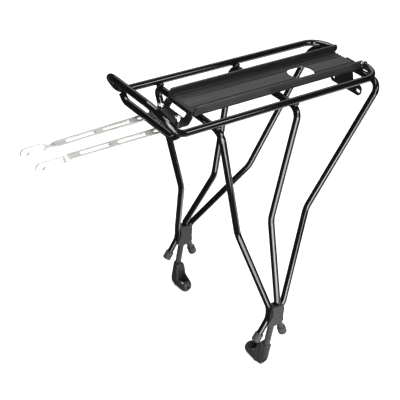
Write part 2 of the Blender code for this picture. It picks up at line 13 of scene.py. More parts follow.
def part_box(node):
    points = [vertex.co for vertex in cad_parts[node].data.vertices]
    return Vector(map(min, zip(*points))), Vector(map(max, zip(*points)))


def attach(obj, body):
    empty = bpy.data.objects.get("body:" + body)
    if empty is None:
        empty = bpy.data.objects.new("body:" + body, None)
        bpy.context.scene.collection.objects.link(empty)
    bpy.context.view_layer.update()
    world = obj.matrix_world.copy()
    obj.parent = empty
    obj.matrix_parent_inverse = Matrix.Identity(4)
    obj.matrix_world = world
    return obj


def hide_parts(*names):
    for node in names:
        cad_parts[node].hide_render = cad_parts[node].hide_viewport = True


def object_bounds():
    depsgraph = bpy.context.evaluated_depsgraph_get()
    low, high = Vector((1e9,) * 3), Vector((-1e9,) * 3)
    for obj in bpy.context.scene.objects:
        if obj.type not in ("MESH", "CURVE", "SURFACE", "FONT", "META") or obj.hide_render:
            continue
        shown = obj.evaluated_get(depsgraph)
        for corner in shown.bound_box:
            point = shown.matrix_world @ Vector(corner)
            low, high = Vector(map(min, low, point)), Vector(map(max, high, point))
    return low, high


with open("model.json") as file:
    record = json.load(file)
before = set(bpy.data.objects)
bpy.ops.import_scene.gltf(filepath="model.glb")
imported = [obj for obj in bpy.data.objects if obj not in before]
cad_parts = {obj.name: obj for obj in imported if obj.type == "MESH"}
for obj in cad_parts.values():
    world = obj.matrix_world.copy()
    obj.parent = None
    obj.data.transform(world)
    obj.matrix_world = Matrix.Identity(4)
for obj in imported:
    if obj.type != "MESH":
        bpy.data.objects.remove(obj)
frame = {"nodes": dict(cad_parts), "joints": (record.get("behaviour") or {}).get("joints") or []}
CAD_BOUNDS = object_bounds()

MM = 0.001
TUBE_R = 5.0 * MM
TUBE_RESOLUTION = 8         # bevel resolution of the visible tubes
BOLT_HOLE_R = 3.1 * MM      # clamp bolt holes, washer and nut bores, stay end holes
SIDES = {"left": 1, "right": -1}
X_AXIS, Y_AXIS, Z_AXIS = Vector((1, 0, 0)), Vector((0, 1, 0)), Vector((0, 0, 1))


# ---- places read from the CAD nodes -------------------------------------------------------
def welded(node):
    """A CAD node's mesh with its doubled corners merged and its flat facets joined."""
    bm = bmesh.new()
    bm.from_mesh(frame["nodes"][node].data)
    bmesh.ops.remove_doubles(bm, verts=bm.verts, dist=1e-6)
    bmesh.ops.dissolve_limit(bm, angle_limit=math.radians(0.2), verts=bm.verts, edges=bm.edges)
    return bm


def is_cap(face):
    """Whether a face is a tube's round end: every corner at the tube's radius from its middle."""
    middle = face.calc_center_median()
    return all(abs((vert.co - middle).length - TUBE_R) < 0.02 * MM for vert in face.verts)


def centre_line(node):
    """The middle of each ring of a CAD tube, from one end to the other."""
    bm = welded(node)
    ring = set(next(face for face in bm.faces if is_cap(face)).verts)
    seen = set()
    middles = []
    while ring:
        middles.append(sum((vert.co for vert in ring), Vector()) / len(ring))
        seen |= ring
        ring = {edge.other_vert(vert) for vert in ring for edge in vert.link_edges} - seen
    bm.free()
    return middles


def smooth_path(points, steps=5):
    """The line through points with its bends made round; straight runs stay straight."""
    chords = [after - before for before, after in zip(points, points[1:])]
    weighted = [chord.normalized() * chord.length ** 2 for chord in chords]
    tangents = [chords[0].normalized()]
    tangents += [(one + two).normalized() for one, two in zip(weighted, weighted[1:])]
    tangents.append(chords[-1].normalized())
    path = [points[0]]
    for index, chord in enumerate(chords):
        start, end = points[index], points[index + 1]
        leave, arrive = tangents[index] * chord.length, tangents[index + 1] * chord.length
        count = steps if leave.angle(arrive) > math.radians(1) else 1
        for step in range(1, count + 1):
            t = step / count
            path.append(start * (2 * t ** 3 - 3 * t ** 2 + 1) + end * (3 * t ** 2 - 2 * t ** 3)
                        + leave * (t ** 3 - 2 * t ** 2 + t) + arrive * (t ** 3 - t ** 2))
    return path


def sided(name, side):
    return f"{name}_{side}"


# ---- mesh helpers -------------------------------------------------------------------------
def piece(name, bm, smooth_angle=35):
    """An object from bm, shaded smooth with sharp edges above an angle in degrees."""
    bmesh.ops.recalc_face_normals(bm, faces=bm.faces)
    data = bpy.data.meshes.new(name)
    bm.to_mesh(data)
    bm.free()
    data.shade_smooth()
    data.set_sharp_from_angle(angle=math.radians(smooth_angle))
    obj = bpy.data.objects.new(name, data)
    bpy.context.scene.collection.objects.link(obj)
    return obj


def dressed(obj, finish, slot, body, *nodes):
    """Give a piece its material and its body, and hide the CAD nodes it stands for; the slot argument is not used.
    """
    obj.data.materials.clear()
    obj.data.materials.append(finish)
    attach(obj, body)
    if nodes:
        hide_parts(*nodes)
    return obj


def applied(obj):
    """Apply an object's modifiers and keep the shading that they give."""
    bpy.context.view_layer.update()
    evaluated = obj.evaluated_get(bpy.context.evaluated_depsgraph_get())
    data = bpy.data.meshes.new_from_object(evaluated)
    obj.modifiers.clear()
    obj.data = data
    return obj


def baked(obj, smooth_angle=35):
    """Apply an object's modifiers and shade it smooth up to an angle in degrees."""
    applied(obj).data.shade_smooth()
    obj.data.set_sharp_from_angle(angle=math.radians(smooth_angle))
    return obj


def combined(obj, others, operation, smooth_angle=35):
    """One exact Boolean after another of obj with each helper, which is then removed."""
    for other in others:
        step = obj.modifiers.new(operation, "BOOLEAN")
        step.operation = operation
        step.solver = "EXACT"
        step.object = other
    baked(obj, smooth_angle)
    for other in others:
        bpy.data.objects.remove(other, do_unlink=True)
    return obj


def bevelled(obj, width, segments=3, angle=35):
    """Round the edges sharper than angle degrees, and keep the flat faces shaded flat."""
    bm = bmesh.new()
    bm.from_mesh(obj.data)
    bmesh.ops.remove_doubles(bm, verts=bm.verts, dist=1e-6)
    bmesh.ops.dissolve_limit(bm, angle_limit=math.radians(0.5), verts=bm.verts, edges=bm.edges)
    bm.to_mesh(obj.data)
    bm.free()
    step = obj.modifiers.new("edges", "BEVEL")
    step.width = width
    step.segments = segments
    step.limit_method = "ANGLE"
    step.angle_limit = math.radians(angle)
    baked(obj, 40)
    step = obj.modifiers.new("flat_faces", "WEIGHTED_NORMAL")
    step.keep_sharp = True
    return applied(obj)


def cast_surface(obj, voxel, rounds):
    """Turn sharp modelled edges into the soft edges and fillets of a casting."""
    remesh = obj.modifiers.new("skin", "REMESH")
    remesh.mode = "VOXEL"
    remesh.voxel_size = voxel
    soften = obj.modifiers.new("soften", "SMOOTH")
    soften.factor = 0.5
    soften.iterations = rounds
    return baked(obj, 60)


def prism(name, outline, depth, place):
    """A polygon in the local XY plane, extruded by depth and centred on the plane."""
    bm = bmesh.new()
    lower = [bm.verts.new((x, y, -depth / 2)) for x, y in outline]
    face = bm.faces.new(lower)
    lifted = bmesh.ops.extrude_face_region(bm, geom=[face])["geom"]
    raised = [item for item in lifted if isinstance(item, bmesh.types.BMVert)]
    bmesh.ops.translate(bm, vec=(0, 0, depth), verts=raised)
    bmesh.ops.transform(bm, matrix=place, verts=bm.verts)
    return piece(name, bm)


def lathe(name, profile, place, segments=48, smooth_angle=35):
    """A solid of revolution about local Z from a closed or axis-to-axis (radius, height) profile."""
    bm = bmesh.new()
    rings = []
    for radius, height in profile:
        if radius == 0:
            rings.append([bm.verts.new((0, 0, height))] * segments)
            continue
        angles = [2 * math.pi * index / segments for index in range(segments)]
        rings.append([bm.verts.new((radius * math.cos(a), radius * math.sin(a), height))
                      for a in angles])
    pairs = list(zip(rings, rings[1:]))
    if profile[0][0] and profile[-1][0]:
        pairs.append((rings[-1], rings[0]))
    for first, second in pairs:
        for index in range(segments):
            after = (index + 1) % segments
            corners = [first[index], first[after], second[after], second[index]]
            corners = list(dict.fromkeys(corners))
            if len(corners) > 2:
                bm.faces.new(corners)
    bmesh.ops.transform(bm, matrix=place, verts=bm.verts)
    return piece(name, bm, smooth_angle)


def loft(name, rings, smooth_angle=35, closed=False):
    """Skin a list of rings of points; an open loft gets an end face at each end."""
    bm = bmesh.new()
    made = [[bm.verts.new(point) for point in ring] for ring in rings]
    pairs = list(zip(made, made[1:]))
    if closed:
        pairs.append((made[-1], made[0]))
    for first, second in pairs:
        for index in range(len(first)):
            after = (index + 1) % len(first)
            bm.faces.new((first[index], first[after], second[after], second[index]))
    if not closed:
        bm.faces.new(made[0])
        bm.faces.new(made[-1])
    return piece(name, bm, smooth_angle)


def arc(cx, cy, radius, start, end, count=10):
    """Points on an arc, angles in degrees."""
    angles = [math.radians(start + (end - start) * index / count) for index in range(count + 1)]
    return [(cx + radius * math.cos(a), cy + radius * math.sin(a)) for a in angles]


def stadium(cx, cy, length, width, count=14):
    """A slot outline along local X."""
    reach = (length - width) / 2
    return (arc(cx + reach, cy, width / 2, -90, 90, count)
            + arc(cx - reach, cy, width / 2, 90, 270, count))


def rounded_polygon(points, radii, step=12):
    """A 2D outline with each corner rounded to its radius, in steps of some degrees."""
    outline = []
    for index, (corner, radius) in enumerate(zip(points, radii)):
        here = Vector(corner)
        if radius <= 0:
            outline.append((here.x, here.y))
            continue
        back = (Vector(points[index - 1]) - here).normalized()
        ahead = (Vector(points[(index + 1) % len(points)]) - here).normalized()
        half = back.angle(ahead) / 2
        centre = here + (back + ahead).normalized() * (radius / math.sin(half))
        first = here + back * (radius / math.tan(half)) - centre
        sweep = math.pi - 2 * half
        turn = 1 if back.x * ahead.y - back.y * ahead.x < 0 else -1
        count = max(2, round(math.degrees(sweep) / step))
        for part in range(count + 1):
            swung = Matrix.Rotation(turn * sweep * part / count, 2) @ first
            outline.append((centre.x + swung.x, centre.y + swung.y))
    return outline


def along(point, direction):
    """A placement at point with local Z along direction."""
    return Matrix.Translation(point) @ direction.to_track_quat("Z", "Y").to_matrix().to_4x4()


def upright_xz(y):
    """Local X and Y become world X and Z, on the plane at y."""
    return Matrix.Translation((0, y, 0)) @ Matrix.Rotation(math.pi / 2, 4, "X")


def upright_yz(x):
    """Local X and Y become world Y and Z, on the plane at x."""
    turned = Matrix(((0, 0, 1, 0), (1, 0, 0, 0), (0, 1, 0, 0), (0, 0, 0, 1)))
    return Matrix.Translation((x, 0, 0)) @ turned


def cylinder(name, radius, length, place, segments=40):
    """A cylinder along local Z, centred on its middle."""
    profile = [(0, length / 2), (radius, length / 2), (radius, -length / 2), (0, -length / 2)]
    return lathe(name, profile, place, segments)


# ---- materials ----------------------------------------------------------------------------
class Finish:
    """A procedural material under construction: one Principled shader and its textures."""

    def __init__(self, name, metallic=0.0, specular=0.5, coat=0.0, coat_roughness=0.05):
        self.material = bpy.data.materials.new(name)
        self.material.use_nodes = True
        self.nodes = self.material.node_tree.nodes
        self.links = self.material.node_tree.links
        self.shader = self.nodes["Principled BSDF"]
        self.shader.inputs["Metallic"].default_value = metallic
        self.shader.inputs["Specular IOR Level"].default_value = specular
        self.shader.inputs["Coat Weight"].default_value = coat
        self.shader.inputs["Coat Roughness"].default_value = coat_roughness
        self.place = self.nodes.new("ShaderNodeTexCoord").outputs["Object"]

    def noise(self, scale, stretch=(1, 1, 1), detail=4.0, roughness=0.55):
        """A noise value from 0 to 1; scale counts its grains in a metre."""
        mapping = self.nodes.new("ShaderNodeMapping")
        mapping.inputs["Scale"].default_value = stretch
        self.links.new(self.place, mapping.inputs["Vector"])
        texture = self.nodes.new("ShaderNodeTexNoise")
        texture.inputs["Scale"].default_value = scale
        texture.inputs["Detail"].default_value = detail
        texture.inputs["Roughness"].default_value = roughness
        self.links.new(mapping.outputs["Vector"], texture.inputs["Vector"])
        return texture.outputs["Fac"]

    def spread(self, value, low, high, start=0.3, end=0.7):
        """Map the middle of a noise onto low to high."""
        step = self.nodes.new("ShaderNodeMapRange")
        step.inputs["From Min"].default_value = start
        step.inputs["From Max"].default_value = end
        step.inputs["To Min"].default_value = low
        step.inputs["To Max"].default_value = high
        self.links.new(value, step.inputs["Value"])
        return step.outputs["Result"]

    def colour(self, value, dark, light, start=0.3, end=0.7):
        """The base colour: a ramp from dark to light over a noise."""
        ramp = self.nodes.new("ShaderNodeValToRGB")
        ramp.color_ramp.elements[0].position = start
        ramp.color_ramp.elements[1].position = end
        ramp.color_ramp.elements[0].color = (*dark, 1)
        ramp.color_ramp.elements[1].color = (*light, 1)
        self.links.new(value, ramp.inputs["Fac"])
        self.links.new(ramp.outputs["Color"], self.shader.inputs["Base Color"])

    def roughness(self, value, low, high):
        self.links.new(self.spread(value, low, high), self.shader.inputs["Roughness"])

    def painted_edge_highlights(self, dark, light, value, start, end):
        """Painted highlight: the base colour lightens along sharp convex edges, where light catches them, broken up
        by a noise.
        """
        geometry = self.nodes.new("ShaderNodeNewGeometry")
        edge = self.spread(geometry.outputs["Pointiness"], 0.0, 1.0, start, end)
        patchy = self.nodes.new("ShaderNodeMath")
        patchy.operation = "MULTIPLY"
        patchy.use_clamp = True
        self.links.new(edge, patchy.inputs[0])
        self.links.new(self.spread(value, 0.2, 1.0), patchy.inputs[1])
        self.colour(patchy.outputs["Value"], dark, light, 0.0, 1.0)

    def bump(self, layers):
        """Stack (value, depth in metres, strength) layers of relief."""
        normal = None
        for value, depth, strength in layers:
            step = self.nodes.new("ShaderNodeBump")
            step.inputs["Strength"].default_value = strength
            step.inputs["Distance"].default_value = depth
            self.links.new(value, step.inputs["Height"])
            if normal:
                self.links.new(normal, step.inputs["Normal"])
            normal = step.outputs["Normal"]
        self.links.new(normal, self.shader.inputs["Normal"])


def gloss_paint():
    finish = Finish("gloss_black_paint_look", specular=0.6, coat=0.5, coat_roughness=0.05)
    cloud = finish.noise(60)
    finish.colour(cloud, (0.0014, 0.0014, 0.0016), (0.0030, 0.0030, 0.0034))
    finish.roughness(finish.noise(220), 0.06, 0.13)
    finish.bump([(finish.noise(380, detail=2), 0.0002, 0.10),
                 (finish.noise(2600, detail=2), 0.00004, 0.08)])
    return finish.material


def satin_cast(name="satin_cast_look", dark=(0.016, 0.016, 0.017), light=(0.042, 0.042, 0.044)):
    finish = Finish(name, specular=0.45)
    # Painted highlight: the base colour lightens along the casting's sharp convex edges.
    finish.painted_edge_highlights(dark, light, finish.noise(500), 0.47, 0.62)
    finish.roughness(finish.noise(700), 0.30, 0.48)
    finish.bump([(finish.noise(260, detail=3), 0.0006, 0.22),
                 (finish.noise(1900, detail=3), 0.00015, 0.25)])
    return finish.material


def anodised():
    finish = Finish("satin_anodised_look", metallic=0.9, specular=0.5)
    drawn = finish.noise(500, (0.01, 1, 1), 5, 0.6)
    finish.colour(drawn, (0.056, 0.056, 0.058), (0.112, 0.112, 0.115))
    finish.roughness(finish.noise(1400, (0.03, 1, 1)), 0.34, 0.44)
    finish.bump([(finish.noise(2200, (0.015, 1, 1), 3), 0.00005, 0.15),
                 (finish.noise(3000, detail=2), 0.00003, 0.10)])
    return finish.material


def sheet_paint():
    finish = Finish("satin_sheet_look", specular=0.28)
    # Painted highlight: the base colour lightens along the sheet's sharp convex edges.
    finish.painted_edge_highlights((0.005, 0.005, 0.0055), (0.040, 0.040, 0.042), finish.noise(600), 0.52, 0.66)
    finish.roughness(finish.noise(420), 0.26, 0.40)
    finish.bump([(finish.noise(700, detail=3), 0.00015, 0.14),
                 (finish.noise(3200, detail=2), 0.00004, 0.14)])
    return finish.material


def rubber():
    finish = Finish("black_rubber_look", specular=0.4)
    finish.colour(finish.noise(260), (0.024, 0.024, 0.025), (0.042, 0.042, 0.043))
    finish.roughness(finish.noise(800), 0.48, 0.66)
    finish.bump([(finish.noise(3000, detail=3), 0.00008, 0.3)])
    return finish.material


def brushed_steel():
    finish = Finish("brushed_strap_look", metallic=0.45)
    streak = finish.noise(1500, (0.02, 1, 1), 6, 0.65)
    finish.colour(streak, (0.36, 0.35, 0.335), (0.62, 0.61, 0.595), 0.3, 0.7)
    finish.roughness(finish.noise(900, (0.04, 1, 1)), 0.24, 0.42)
    finish.bump([(finish.noise(2600, (0.015, 1, 1), 4), 0.00005, 0.35),
                 (finish.noise(160, detail=2), 0.0004, 0.12)])
    return finish.material


def chrome():
    finish = Finish("chrome_look", metallic=1.0)
    finish.colour(finish.noise(900), (0.70, 0.70, 0.71), (0.86, 0.86, 0.87))
    finish.roughness(finish.noise(1600), 0.06, 0.18)
    finish.bump([(finish.noise(2400, detail=2), 0.00004, 0.12)])
    return finish.material


PAINT = gloss_paint()
CAST = satin_cast()
FOOT_CAST = satin_cast("satin_foot_look", (0.017, 0.017, 0.018), (0.046, 0.046, 0.048))
DECK_LOOK = anodised()
SHEET = sheet_paint()
RUBBER = rubber()
STEEL = brushed_steel()
CHROME = chrome()


# ---- tubes and their welds ----------------------------------------------------------------
def tube_curve(name, path, radius):
    data = bpy.data.curves.new(name, "CURVE")
    data.dimensions = "3D"
    data.bevel_depth = radius
    data.bevel_resolution = TUBE_RESOLUTION
    data.use_fill_caps = True
    spline = data.splines.new("POLY")
    spline.points.add(len(path) - 1)
    for point, place in zip(spline.points, path):
        point.co = (*place, 1)
    obj = bpy.data.objects.new(name, data)
    bpy.context.scene.collection.objects.link(obj)
    return obj


def build_tube(node, finish=None, slot="gloss_black_paint"):
    path = smooth_path(centre_line(node))
    PATHS[node] = path
    dressed(tube_curve(f"{node}_skin", path, TUBE_R), finish or PAINT, slot, "rack", node)


def nearest(one, two):
    """The closest pair of stations of two paths, with the direction of each path there."""
    gaps = [((p - q).length, i, j) for i, p in enumerate(one) for j, q in enumerate(two)]
    _, i, j = min(gaps)
    return one[i], two[j], heading(one, i), heading(two, j)


def heading(path, index):
    low, high = max(index - 1, 0), min(index + 1, len(path) - 1)
    return (path[high] - path[low]).normalized()


def dense(path, spacing=1.0 * MM):
    """The path with its long straight runs divided."""
    points = [path[0]]
    for start, end in zip(path, path[1:]):
        count = max(1, math.ceil((end - start).length / spacing))
        points += [start.lerp(end, index / count) for index in range(1, count + 1)]
    return points


BEAD_R = 1.55 * MM
RIPPLE = 0.10


def bead_ring(name, centres, count_ripples):
    """A closed weld bead through centres, its thickness rippled by the welder's steps."""
    total = len(centres)
    sides = 12
    rings = []
    for index, centre in enumerate(centres):
        ahead = (centres[(index + 1) % total] - centres[index - 1]).normalized()
        reference = Z_AXIS if abs(ahead.z) < 0.95 else X_AXIS
        across = ahead.cross(reference).normalized()
        over = across.cross(ahead)
        radius = BEAD_R * (1 + RIPPLE * math.cos(2 * math.pi * count_ripples * index / total))
        angles = [2 * math.pi * side / sides for side in range(sides)]
        rings.append([centre + (across * math.cos(a) + over * math.sin(a)) * radius for a in angles])
    bead = loft(name, rings, 60, closed=True)
    return dressed(bead, PAINT, "gloss_black_paint", "rack")


def crossing_bead(name, upper, lower, side):
    """The saddle-shaped bead where two round tubes cross and touch."""
    keep = [[p for p in dense(path) if p.y * side > 0.045] for path in (upper, lower)]
    top, bottom, top_way, bottom_way = nearest(*keep)
    normal = (top - bottom).normalized()
    x_way = top_way
    y_way = normal.cross(x_way).normalized()
    middle = (top + bottom) / 2
    reach = 4.1 * MM
    rise = (TUBE_R - math.sqrt(TUBE_R ** 2 - reach ** 2)) / 2
    centres = []
    for index in range(72):
        turn = 2 * math.pi * index / 72
        spot = middle + x_way * (reach * math.cos(turn)) + y_way * (reach * math.sin(turn))
        centres.append(spot - normal * (rise * math.cos(2 * turn)))
    return bead_ring(name, centres, 16)


def end_bead(name, path, inset=0.6 * MM):
    """The bead around the end of a tube that butts against its neighbour."""
    end, way = path[0], (path[0] - path[1]).normalized()
    place = along(end - way * inset, way)
    turns = [2 * math.pi * index / 60 for index in range(60)]
    centres = [place @ Vector((TUBE_R * math.cos(t), TUBE_R * math.sin(t), 0)) for t in turns]
    return bead_ring(name, centres, 14)


PATHS = {}
HOOPS = ["front_leg_tube", "middle_leg_tube", "rear_leg_tube"]


def build_tubes():
    for node in ["rail_tube", "low_front_bar"] + HOOPS:
        build_tube(node)
    for side in SIDES:
        build_tube(sided("rear_stub", side), CAST, "satin_black_cast")
        build_tube(sided("strut", side), CAST, "satin_black_cast")


def build_welds():
    for side, sign in SIDES.items():
        for hoop in HOOPS:
            crossing_bead(f"weld_{hoop[:-5]}_{side}", PATHS["rail_tube"], PATHS[hoop], sign)
        path = PATHS["rail_tube"] if PATHS["rail_tube"][0].y * sign > 0 else PATHS["rail_tube"][::-1]
        end_bead(f"weld_rail_tube_end_{side}", path)


# ---- castings at the lower ends -----------------------------------------------------------
def cad_copy(name, node):
    """A copy of a CAD node's shape, to be worked into a fine surface."""
    return piece(name, welded(node))


def build_lug(side):
    name = sided("junction_lug", side)
    lug = cad_copy(f"{name}_casting", name)
    cast_surface(lug, 0.5 * MM, 12)
    dressed(lug, CAST, "satin_black_cast", "rack", name)


FOOT_RIBS = 6
RIB_R, RIB_LENGTH = 1.6 * MM, 9 * MM
RIB_FROM_FRONT, RIB_FROM_OUTSIDE = 3.5 * MM, 11.5 * MM
RIB_FROM_BOTTOM, RIB_PITCH = 12.5, 5.6      # in millimetres
SOCKET_R, SOCKET_LENGTH, SOCKET_MIDDLE = 6.9 * MM, 21 * MM, 27 * MM


def build_foot(side, sign):
    """The foot's casting with short ribs across its front wall beside the strut."""
    name = sided("foot", side)
    foot = cad_copy(f"{name}_casting", name)
    low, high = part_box(name)
    ribs = []
    for index in range(FOOT_RIBS):
        centre = Vector((high.x - RIB_FROM_FRONT,
                         sign * (max(abs(low.y), abs(high.y)) - RIB_FROM_OUTSIDE),
                         low.z + (RIB_FROM_BOTTOM + RIB_PITCH * index) * MM))
        ribs.append(cylinder(f"rib_{index}", RIB_R, RIB_LENGTH, along(centre, Y_AXIS), 16))
    strut = PATHS[sided("strut", side)]
    bottom, top = sorted((strut[0], strut[-1]), key=lambda point: point.z)
    way = (bottom - top).normalized()
    middle = top + way * ((top.z - low.z - SOCKET_MIDDLE) / -way.z)
    ribs.append(cylinder("socket_wall", SOCKET_R, SOCKET_LENGTH, along(middle, way), 40))
    combined(foot, ribs, "UNION")
    cast_surface(foot, 0.45 * MM, 4)
    dressed(foot, FOOT_CAST, "satin_black_cast_foot", "rack", name)


CAP_R = 7.1 * MM
CAP_DEPTH = 3.2 * MM


def build_cap(kind, side, path):
    """A rubber cup on a stub: domed end, soft mouth and two grip rings; path starts at the tip."""
    name = sided(kind, side)
    way = (path[0] - path[1]).normalized()
    top = CAP_DEPTH
    outer = [(0, top), (CAP_R * 0.45, top - 0.1 * MM)]
    outer += [(CAP_R * 0.98 - 1.9 * MM + x, y) for x, y in arc(0, top - 2.0 * MM, 1.9 * MM, 80, 0, 6)]
    for centre in (-7.4 * MM, -8.9 * MM):
        outer += [(CAP_R * 0.965, centre + 0.5 * MM), (CAP_R * 0.93, centre + 0.2 * MM),
                  (CAP_R * 0.93, centre - 0.2 * MM), (CAP_R * 0.965, centre - 0.5 * MM)]
    outer += [(CAP_R * 0.93 - 0.6 * MM + x, y) for x, y in arc(0, -10.4 * MM, 0.6 * MM, 0, -90, 4)]
    bore = TUBE_R + 0.1 * MM
    inner = [(bore + 0.3 * MM, -11.0 * MM), (bore, -10.6 * MM), (bore, 0.1 * MM), (0, 0.1 * MM)]
    cap = lathe(f"{name}_rubber", outer + inner, along(path[0], way), 56, 30)
    dressed(cap, RUBBER, "black_rubber", "rack", name)


def build_lower_ends():
    for side, sign in SIDES.items():
        build_lug(side)
        build_foot(side, sign)
        hoop = PATHS["front_leg_tube"]
        build_cap("front_stub_cap", side, hoop if hoop[0].y * sign > 0 else hoop[::-1])
        stub = PATHS[sided("rear_stub", side)]
        build_cap("rear_stub_cap", side, stub if stub[0].z < stub[-1].z else stub[::-1])


# ---- deck ---------------------------------------------------------------------------------
DECK_PLATE_T = 2.0 * MM
DECK_WALL_T = 2.2 * MM
DECK_LIP = 1.2 * MM
BAND_HALF = 10.5 * MM
GROOVES = 3
GROOVE_DEPTH = 1.35 * MM
OVAL_LENGTH, OVAL_WIDTH = 43 * MM, 31 * MM
OVAL_FROM_REAR = 94 * MM


def deck_section(low, high):
    """Half of the extruded section, from the centre line outward, as (y, z)."""
    top = low.z + DECK_PLATE_T
    inner = high.y - DECK_LIP - DECK_WALL_T
    pitch = (inner - BAND_HALF) / GROOVES
    section = [(0, top), (BAND_HALF - 0.2 * MM, top)]
    for index in range(GROOVES):
        start = BAND_HALF + index * pitch
        width = 0.40 * pitch
        section += [(start + width / 2 * (1 - math.cos(a)), top - GROOVE_DEPTH * math.sin(a) ** 0.6)
                    for a in [math.pi * part / 8 for part in range(9)]]
        if index < GROOVES - 1:
            section += [(start + width + 0.1 * pitch, top + 0.18 * MM), (start + 0.9 * pitch, top + 0.18 * MM)]
    root = 0.8 * MM
    section += arc(inner - root, top + root, root, -90, 0, 5)
    section += arc(inner + 0.5 * MM, high.z - 0.5 * MM, 0.5 * MM, 180, 90, 4)
    section += arc(high.y - 0.6 * MM, high.z - 0.6 * MM, 0.6 * MM, 90, 0, 4)
    wall = high.y - DECK_LIP
    section += [(high.y, high.z - 1.5 * MM), (wall + 0.2 * MM, high.z - 2.1 * MM), (wall, high.z - 2.5 * MM)]
    section += [(wall, low.z + 1.6 * MM), (wall + 0.2 * MM, low.z + 1.2 * MM), (high.y, low.z + 0.9 * MM),
                (high.y, low.z + 0.2 * MM), (high.y - 0.2 * MM, low.z)]
    return section


def build_deck():
    low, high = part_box("deck_plate")
    half = deck_section(low, high)
    section = half + [(-y, z) for y, z in reversed(half) if y > 0]
    deck = prism("deck_extrusion", section, high.x - low.x, upright_yz((low.x + high.x) / 2))
    over = high.z + 2 * MM
    corner = 9.2 * MM
    floor = low.z + DECK_PLATE_T + 0.5 * MM
    nose = [(high.x + 5 * MM, floor), (high.x - 0.1 * MM, floor)]
    nose += arc(high.x - corner - 0.1 * MM, high.z - corner + 0.1 * MM, corner, 5, 92, 16)
    nose += [(high.x - corner - 2 * MM, over), (high.x + 5 * MM, over)]
    tail = [(low.x - 5 * MM, floor), (low.x + 1.6 * MM, low.z + DECK_PLATE_T + 1.4 * MM),
            (low.x + 2.6 * MM, high.z - 3 * MM), (low.x + 1.2 * MM, high.z - 1.2 * MM),
            (low.x + 0.2 * MM, over), (low.x - 5 * MM, over)]
    cuts = [prism(f"deck_cut_{index}", outline, 100 * MM, upright_xz(0))
            for index, outline in enumerate((nose, tail))]
    oval = stadium(low.x + OVAL_FROM_REAR, 0, OVAL_LENGTH, OVAL_WIDTH, 28)
    cuts.append(prism("deck_cut_oval", oval, 60 * MM, Matrix.Translation((0, 0, low.z))))
    combined(deck, cuts, "DIFFERENCE", 30)
    dressed(deck, DECK_LOOK, "satin_black_anodised", "rack", "deck_plate")


# ---- front bracket ------------------------------------------------------------------------
SHEET_T = 1.6 * MM


def offset_profile(points, half):
    """Both faces of a bent sheet from its middle line, as one closed outline."""
    faces = []
    for sign in (1, -1):
        face = []
        for index, point in enumerate(points):
            low, high = max(index - 1, 0), min(index + 1, len(points) - 1)
            way = (Vector(points[high]) - Vector(points[low])).normalized()
            face.append((point[0] - sign * half * way.y, point[1] + sign * half * way.x))
        faces.append(face)
    return faces[0] + faces[1][::-1]


def build_front_bracket():
    """Sheet bent from the tab over the dropped bar, up the leaning face, over the deck's edge."""
    low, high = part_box("front_bracket")
    deck_low, deck_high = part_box("deck_plate")
    tab_z = low.z + SHEET_T / 2
    lip_z = high.z - SHEET_T / 2
    lip_x = deck_high.x + 0.3 * MM + SHEET_T / 2
    middle = [(high.x, tab_z), (118.2 * MM, tab_z), (lip_x, 413.2 * MM), (lip_x, lip_z), (low.x, lip_z)]
    bends = rounded_polygon(middle, [0, 3.0 * MM, 1.5 * MM, 1.3 * MM, 0], 12)
    bracket = prism("front_bracket_sheet", offset_profile(bends, SHEET_T / 2), high.y - low.y, upright_xz(0))
    reach = high.y
    plan = rounded_polygon(
        [(101 * MM, -26.5 * MM), (112.0 * MM, -26.5 * MM), (112.0 * MM, -reach - 1 * MM),
         (118 * MM, -reach - 1 * MM),
         (139 * MM, -29 * MM), (152.5 * MM, -14 * MM), (high.x + 1 * MM, -14 * MM), (high.x + 1 * MM, 14 * MM),
         (152.5 * MM, 14 * MM), (139 * MM, 29 * MM), (118 * MM, reach + 1 * MM), (112.0 * MM, reach + 1 * MM),
         (112.0 * MM, 26.5 * MM), (101 * MM, 26.5 * MM)],
        [0, 0, 0, 0, 8 * MM, 2 * MM, 0, 0, 2 * MM, 8 * MM, 0, 0, 0, 0])
    combined(bracket, [prism("plan", plan, 60 * MM, Matrix.Translation((0, 0, low.z)))], "INTERSECT")
    lean = Matrix.Translation((114.3 * MM, 0, 408.3 * MM)) @ Matrix.Rotation(math.radians(-33), 4, "Y")
    window = rounded_polygon([(-16.7 * MM, -2.8 * MM), (16.7 * MM, -2.8 * MM), (16.7 * MM, 4.2 * MM),
                              (-16.7 * MM, 4.2 * MM)], [1.2 * MM] * 4)
    cuts = [prism("window", window, 7 * MM, lean @ upright_yz(0))]
    for side in SIDES:
        bolt_low, bolt_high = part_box(sided("stay_bolt", side))
        middle = (bolt_low + bolt_high) / 2
        cuts.append(cylinder(f"hole_{side}", BOLT_HOLE_R, 12 * MM, Matrix.Translation((middle.x, middle.y, tab_z))))
    slot = stadium(0, 0, 16 * MM, 5 * MM)
    cuts.append(prism("slot", slot, 12 * MM, Matrix.Translation((148.5 * MM, 0, tab_z))
                      @ Matrix.Rotation(math.pi / 2, 4, "Z")))
    combined(bracket, cuts, "DIFFERENCE")
    bevelled(bracket, 0.28 * MM, 2, 40)
    dressed(bracket, SHEET, "black_steel_sheet", "rack", "front_bracket")


# ---- stays and their clamps ---------------------------------------------------------------
STAY_T, STAY_W, SLOT_W = 2.5 * MM, 14 * MM, 6.2 * MM
SLOTS = [(123.0 * MM, 43.5 * MM), (69.3 * MM, 43.5 * MM), (15.5 * MM, 44.0 * MM)]
STAY_BACK = -13.5 * MM
TWIST_START, TWIST_END = 156 * MM, 180 * MM
STAY_HOLE, STAY_END = 197 * MM, 205.5 * MM
STAY_DROP, STAY_OFFSET = 1.2 * MM, 3.2 * MM
STAY_EDGE = 0.35 * MM


def joint(name):
    return next(item for item in frame["joints"] if item["name"] == name)


